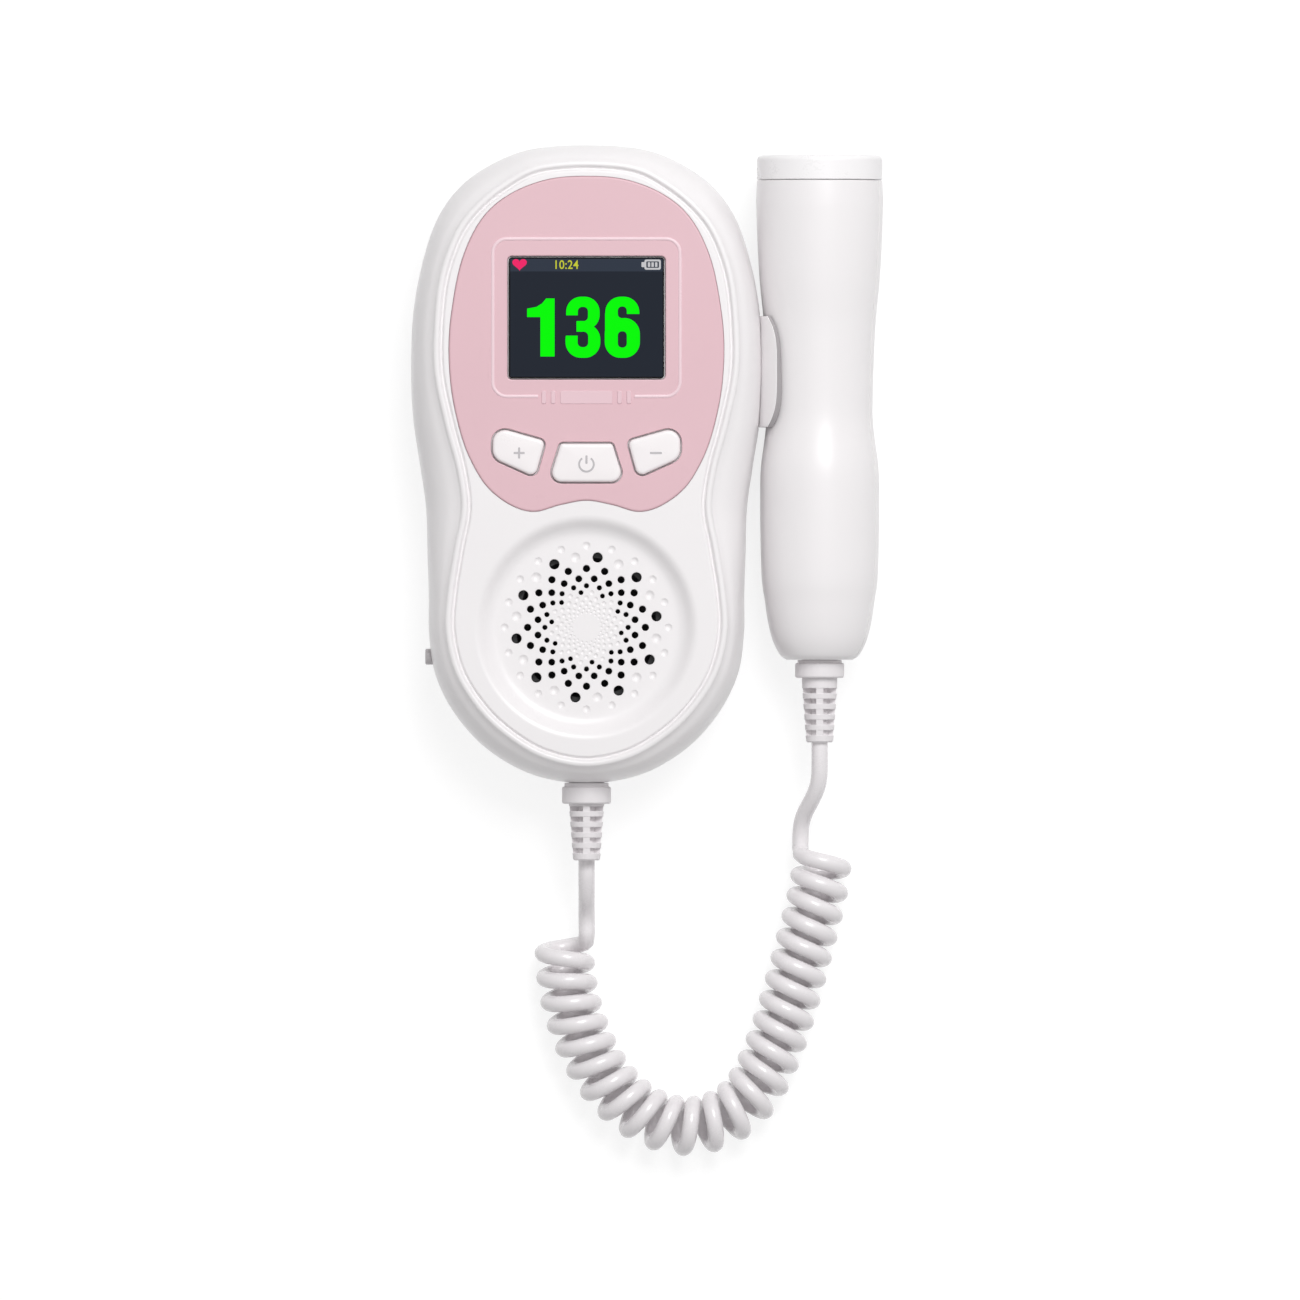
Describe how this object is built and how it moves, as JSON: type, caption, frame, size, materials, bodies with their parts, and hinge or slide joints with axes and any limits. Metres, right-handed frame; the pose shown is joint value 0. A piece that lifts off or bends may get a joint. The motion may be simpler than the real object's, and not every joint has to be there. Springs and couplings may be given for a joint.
{
  "type": "fetal doppler",
  "caption": "Hand-held fetal doppler: a waisted white casing with pink face panel, display, keys and speaker grille, with a clipped-on ultrasound probe on a curly cord.",
  "frame": {"origin": "middle of the casing's rear face, which the doppler lies on", "axes": "+X towards the probe's side, +Y towards the display end, +Z out of the face panel"},
  "size_m": [0.1068, 0.2289, 0.0314],
  "materials": {
    "white_plastic": "satin white moulded plastic",
    "pink_plastic": "satin pink moulded plastic",
    "key_plastic": "white keys with grey signs",
    "screen": "dark display window",
    "handle_plastic": "satin white plastic",
    "face_plastic": "smooth acoustic face",
    "soft_plastic": "soft white moulded sleeve",
    "cord_jacket": "soft white cord jacket",
    "dark_plastic": "black plastic",
    "jack_plastic": "grey plastic",
    "steel": "plain steel",
    "board": "green circuit board",
    "foam": "foam gasket",
    "crystal": "metallised ceramic",
    "cell": "plain cell jacket"
  },
  "bodies": {
    "unit": {"front_shell": "white_plastic", "rear_shell": "white_plastic", "face_panel": "pink_plastic", "display_lens": "screen", "lcd_module": "dark_plastic", "lcd_frame": "white_plastic", "plus_switch": "dark_plastic", "power_switch": "dark_plastic", "minus_switch": "dark_plastic", "main_board": "board", "speaker_gasket": "foam", "speaker_basket": "steel", "speaker_cone": "dark_plastic", "speaker_magnet": "steel", "battery_cell_left": "cell", "battery_cell_right": "cell", "battery_bridge": "steel", "battery_contact_left": "steel", "battery_contact_right": "steel", "headphone_jack": "jack_plastic", "housing_screw_1": "steel", "housing_screw_2": "steel", "housing_screw_3": "steel", "housing_screw_4": "steel", "probe_holder": "white_plastic", "unit_strain_relief": "soft_plastic", "unit_cord_lead": "cord_jacket", "curly_cord": "cord_jacket", "probe_cord_lead": "cord_jacket"},
    "plus_key": {"plus_button": "key_plastic"},
    "power_key": {"power_button": "key_plastic"},
    "minus_key": {"minus_button": "key_plastic"},
    "door": {"battery_door": "white_plastic"},
    "probe": {"probe_front_shell": "handle_plastic", "probe_rear_shell": "handle_plastic", "probe_face_cap": "face_plastic", "sender_crystal": "crystal", "receiver_crystal": "crystal", "transducer_backing": "dark_plastic", "probe_board": "board", "probe_strain_relief": "soft_plastic"}
  },
  "joints": [
    {"name": "plus_press", "type": "slide", "parent": "unit", "child": "plus_key", "axis": [0, 0, -1], "range_m": [0, 0.0008], "stiffness_N_per_m": 600, "springref_m": -0.0008},
    {"name": "power_press", "type": "slide", "parent": "unit", "child": "power_key", "axis": [0, 0, -1], "range_m": [0, 0.0008], "stiffness_N_per_m": 600, "springref_m": -0.0008},
    {"name": "minus_press", "type": "slide", "parent": "unit", "child": "minus_key", "axis": [0, 0, -1], "range_m": [0, 0.0008], "stiffness_N_per_m": 600, "springref_m": -0.0008},
    {"name": "door_swing", "type": "hinge", "parent": "unit", "child": "door", "pos_m": [0, 0.0586, 0.0012], "axis": [1, 0, 0], "range_deg": [0, 60]},
    {"name": "probe_pull", "type": "slide", "parent": "unit", "child": "probe", "axis": [0.6947, 0, 0.7193], "range_m": [0, 0.05], "deforming": ["unit_cord_lead", "curly_cord", "probe_cord_lead"]}
  ]
}
